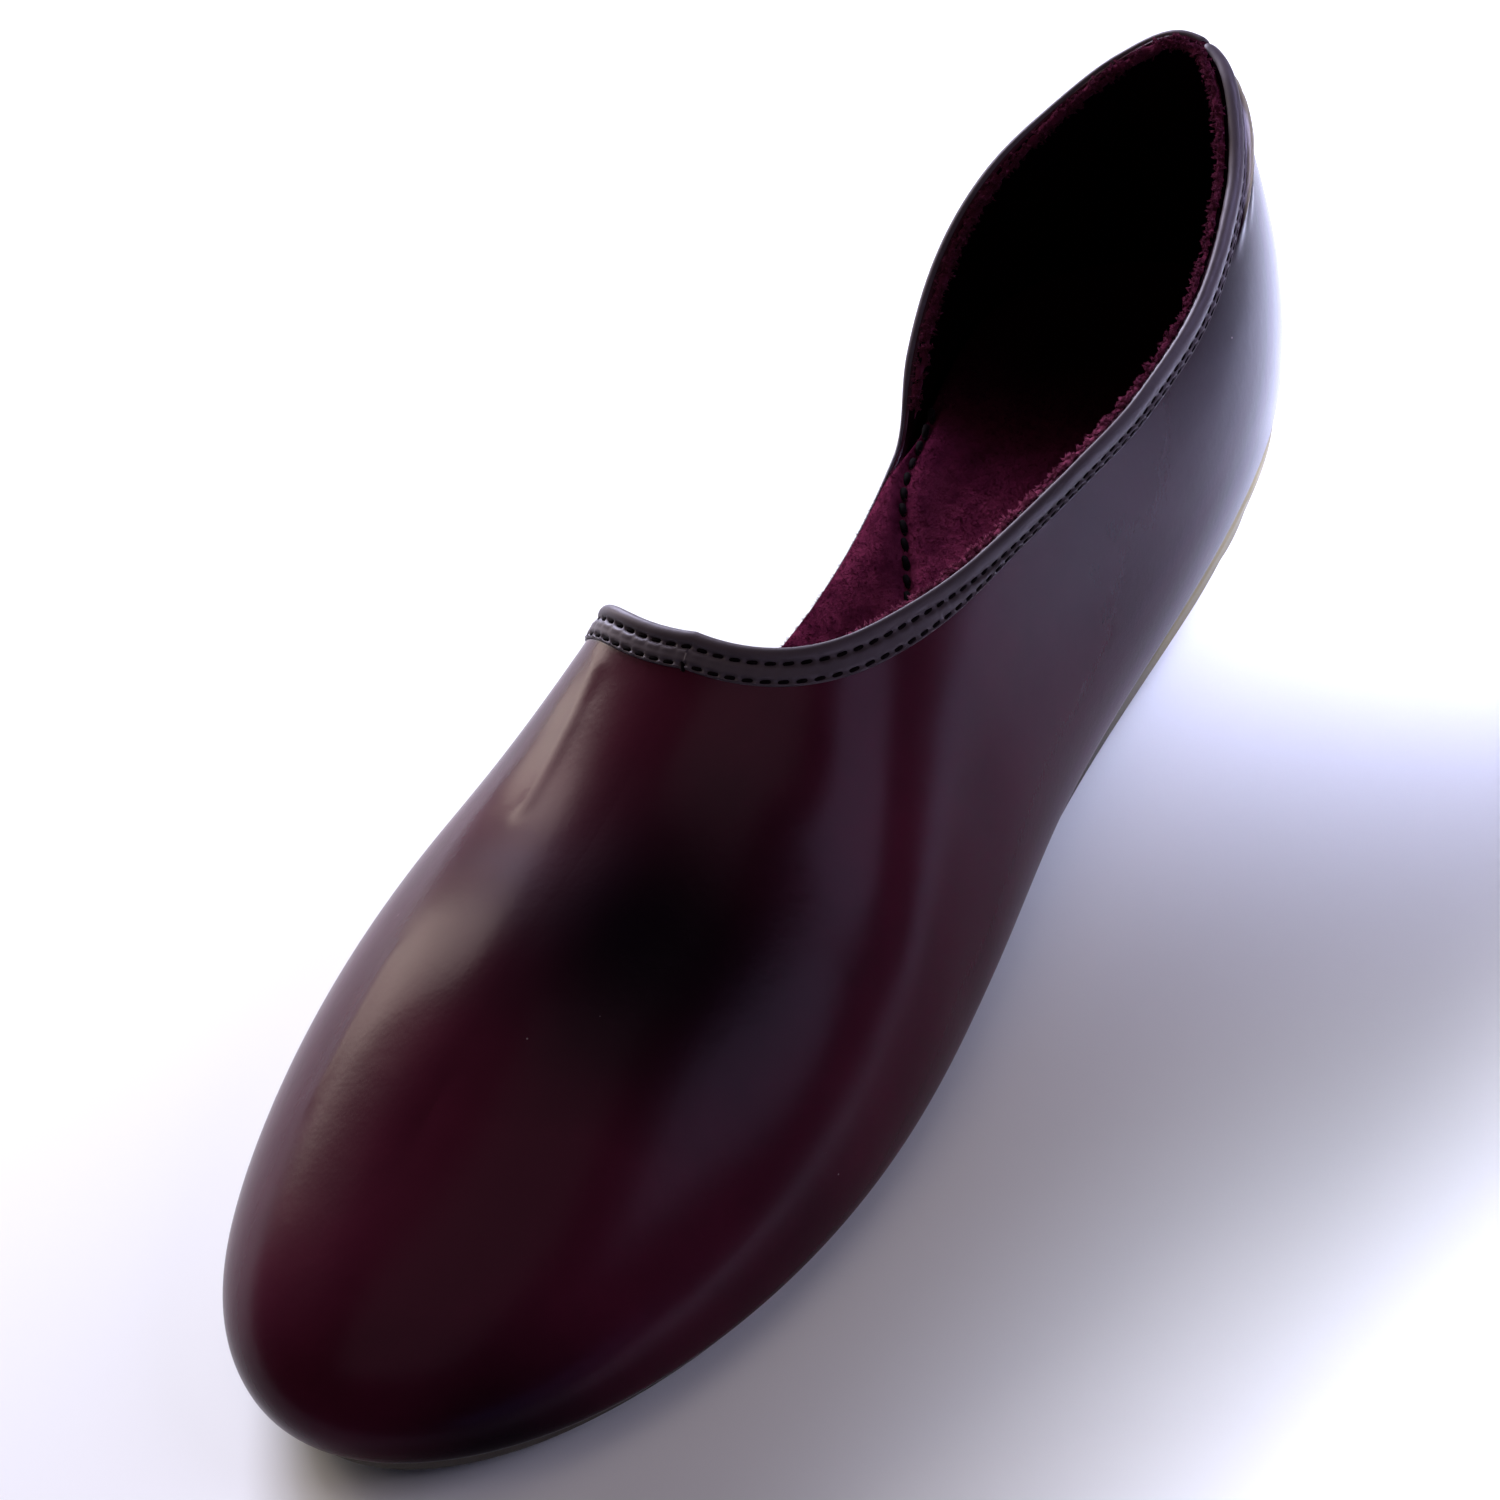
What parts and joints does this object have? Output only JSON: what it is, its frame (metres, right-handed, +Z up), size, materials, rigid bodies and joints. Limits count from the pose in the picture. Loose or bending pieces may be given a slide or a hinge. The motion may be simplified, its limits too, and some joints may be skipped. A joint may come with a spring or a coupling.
{
  "type": "flat shoe",
  "caption": "Low-heeled leather slipper for the left foot: closed outer side, inner side cut open down to a padded insole, stitched band along the top edge, tan sole.",
  "frame": {"origin": "middle of the shoe's box, on the floor that it stands on", "axes": "+X towards the toe, +Y towards the outer side of the foot, +Z up"},
  "size_m": [0.2528, 0.0828, 0.063],
  "materials": {
    "sole": "matt tan",
    "heel": "matt tan",
    "upper": "smooth, half gloss",
    "insole": "short brushed nap",
    "binding": "smooth, half gloss"
  },
  "bodies": {
    "root": {"outsole": "sole", "heel": "heel", "upper": "upper", "insole": "insole", "topline_binding": "binding"}
  },
  "joints": []
}
